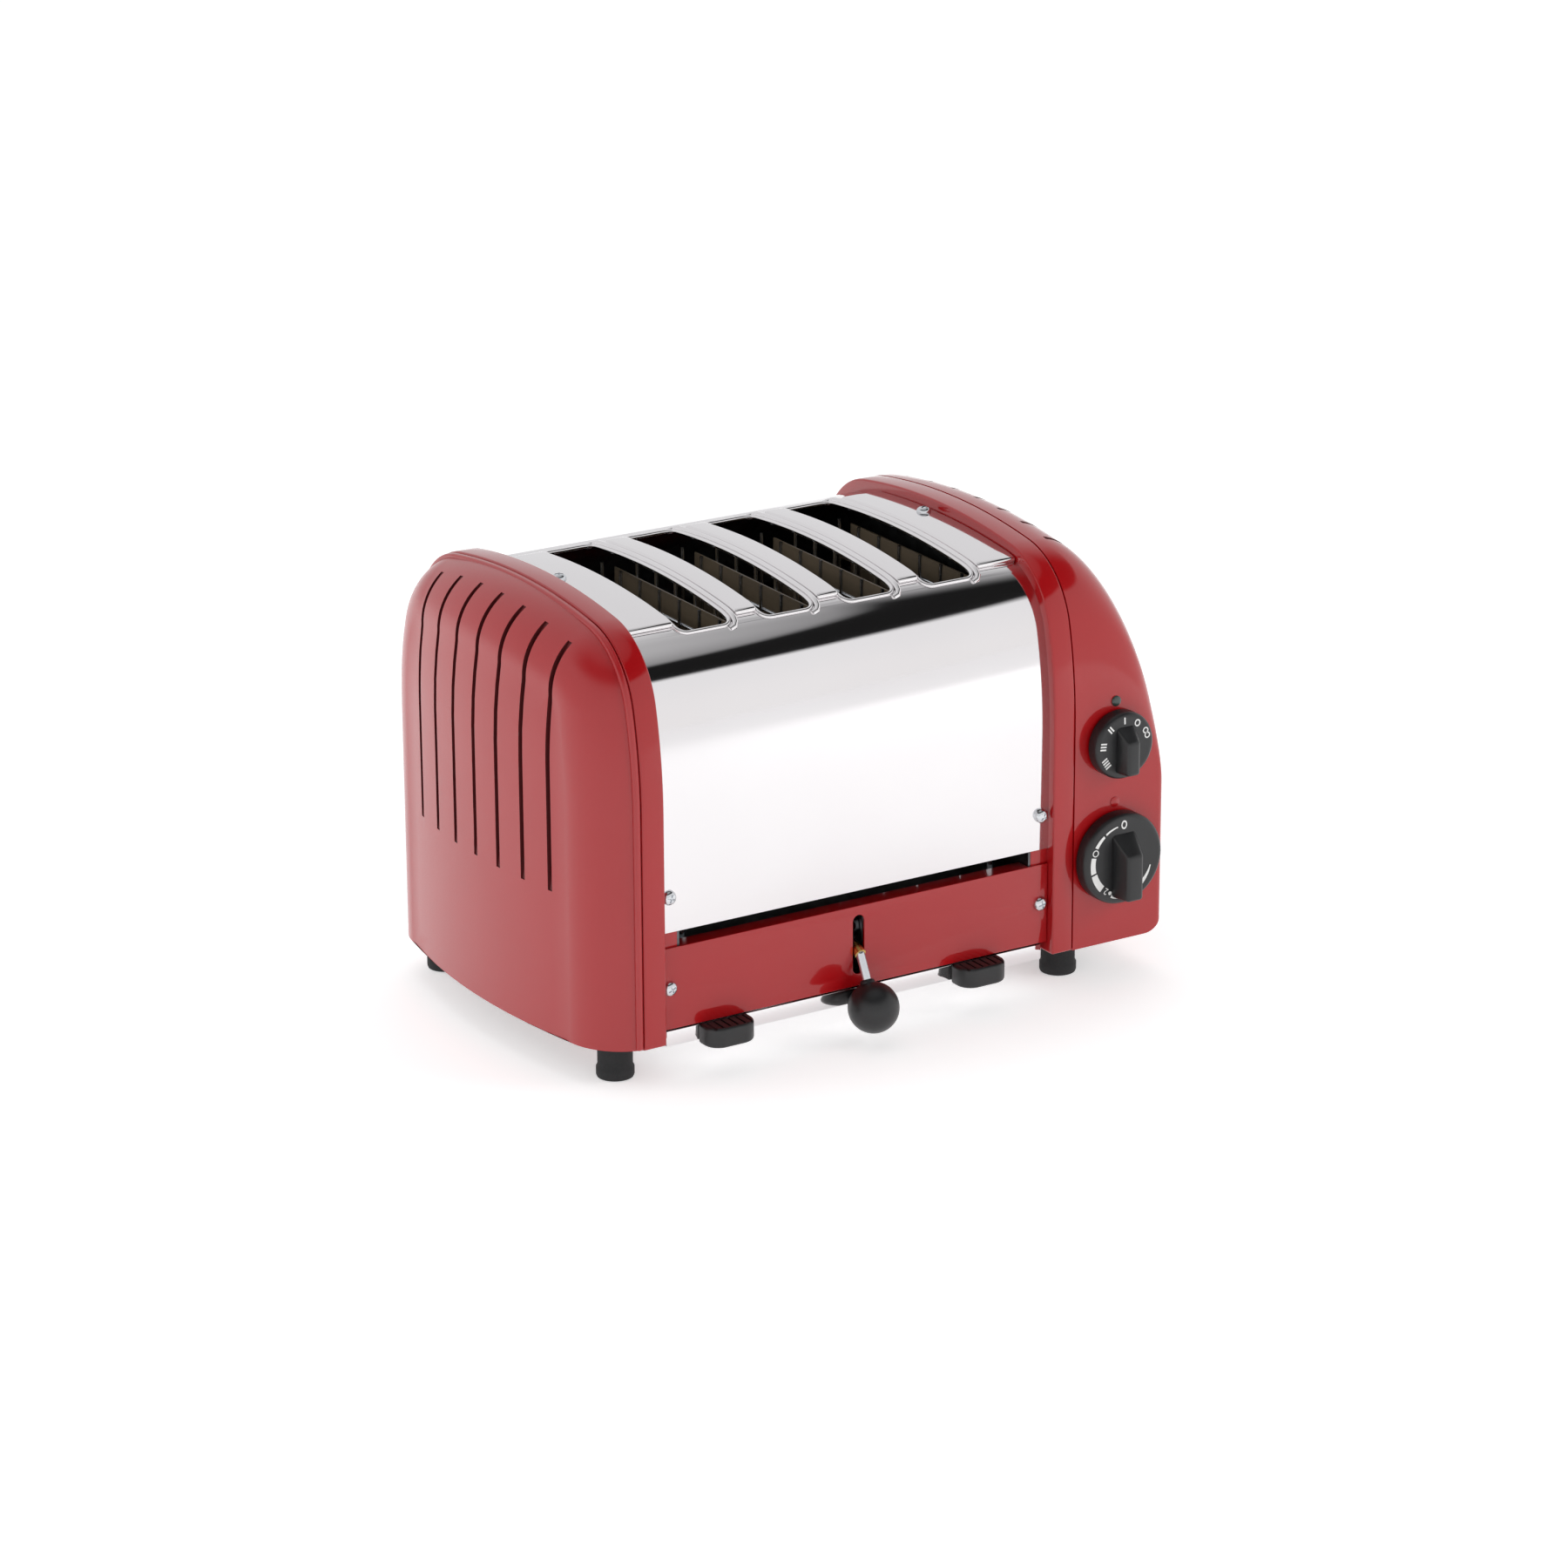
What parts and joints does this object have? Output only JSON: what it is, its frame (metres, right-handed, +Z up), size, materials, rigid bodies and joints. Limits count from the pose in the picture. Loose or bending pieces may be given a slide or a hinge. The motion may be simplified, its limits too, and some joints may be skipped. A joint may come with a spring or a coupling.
{
  "type": "toaster",
  "caption": "Pop-up toaster with a polished steel wrap, red enamelled end castings with louvres, a ball-ended lift lever, two control knobs and a slide-in crumb tray",
  "frame": {"origin": "on the supporting surface under the middle of the whole object", "axes": "+Z up, front towards -Y, control end towards +X"},
  "size_m": [0.322, 0.2347, 0.2204],
  "materials": {
    "red_enamel": "gloss",
    "polished_steel": "polished",
    "plated_steel": "polished",
    "zinc_sheet": "satin",
    "black_plastic": "matte",
    "knob_black": "satin",
    "foot_rubber": "matte",
    "brass": "polished",
    "mica": "satin",
    "heating_ribbon": "satin",
    "lamp_lens": "gloss",
    "pip_red": "gloss",
    "switch_plastic": "matte"
  },
  "bodies": {
    "toaster": {"left_end_frame": "red_enamel", "right_end_frame": "red_enamel", "left_end_cap": "red_enamel", "control_housing": "red_enamel", "front_lower_panel": "red_enamel", "rear_lower_panel": "red_enamel", "body_shell": "polished_steel", "shell_screws": "plated_steel", "panel_screws": "plated_steel", "top_screws": "plated_steel", "lever_pivot_shaft": "plated_steel", "guide_rods": "plated_steel", "bread_guard_1": "plated_steel", "bread_guard_2": "plated_steel", "bread_guard_3": "plated_steel", "bread_guard_4": "plated_steel", "crumb_tray": "plated_steel", "front_cross_member": "zinc_sheet", "rear_cross_member": "zinc_sheet", "left_chassis_plate": "zinc_sheet", "right_chassis_plate": "zinc_sheet", "heat_shield": "zinc_sheet", "left_base_plate": "zinc_sheet", "right_base_plate": "zinc_sheet", "tray_rail_left": "zinc_sheet", "tray_rail_right": "zinc_sheet", "lever_bracket": "zinc_sheet", "element_rails_lower": "zinc_sheet", "guide_rails": "zinc_sheet", "element_rails_upper": "zinc_sheet", "foot_front_left": "foot_rubber", "foot_front_right": "foot_rubber", "foot_rear_left": "foot_rubber", "foot_rear_right": "foot_rubber", "tray_grip_left": "black_plastic", "tray_grip_right": "black_plastic", "cable_gland": "black_plastic", "heating_element_1": "mica", "heating_element_2": "mica", "heating_element_3": "mica", "heating_element_4": "mica", "heating_element_5": "mica", "element_windings": "heating_ribbon", "pilot_lamp": "lamp_lens", "timer_index_pip": "pip_red", "timer_body": "switch_plastic", "selector_body": "switch_plastic", "terminal_block": "switch_plastic"},
    "lever": {"lever_arm": "plated_steel", "lever_ball_knob": "black_plastic", "lever_collar": "brass"},
    "carriage": {"carriage_bars": "zinc_sheet", "bread_rack_1": "zinc_sheet", "bread_rack_2": "zinc_sheet", "bread_rack_3": "zinc_sheet", "bread_rack_4": "zinc_sheet"},
    "timer": {"timer_knob": "knob_black", "timer_spindle": "plated_steel"},
    "selector": {"selector_knob": "knob_black", "selector_spindle": "plated_steel"}
  },
  "joints": [
    {"name": "lever_hinge", "type": "hinge", "parent": "toaster", "child": "lever", "pos_m": [-0.0106, -0.07615, 0.05], "axis": [-1, 0, 0], "range_deg": [0, 40]},
    {"name": "carriage_lift", "type": "slide", "parent": "toaster", "child": "carriage", "axis": [0, 0, -1], "range_m": [0, 0.03076]},
    {"name": "timer_turn", "type": "hinge", "parent": "toaster", "child": "timer", "pos_m": [0.132, -0.09655, 0.0636], "axis": [0, 1, 0], "range_deg": [0, 290]},
    {"name": "selector_turn", "type": "hinge", "parent": "toaster", "child": "selector", "pos_m": [0.132, -0.09655, 0.1208], "axis": [0, 1, 0], "range_deg": [-180, 0]}
  ],
  "couplings": [
    {"joint": "lever_hinge", "follows": "carriage_lift", "rad_per_m": 22.696}
  ]
}
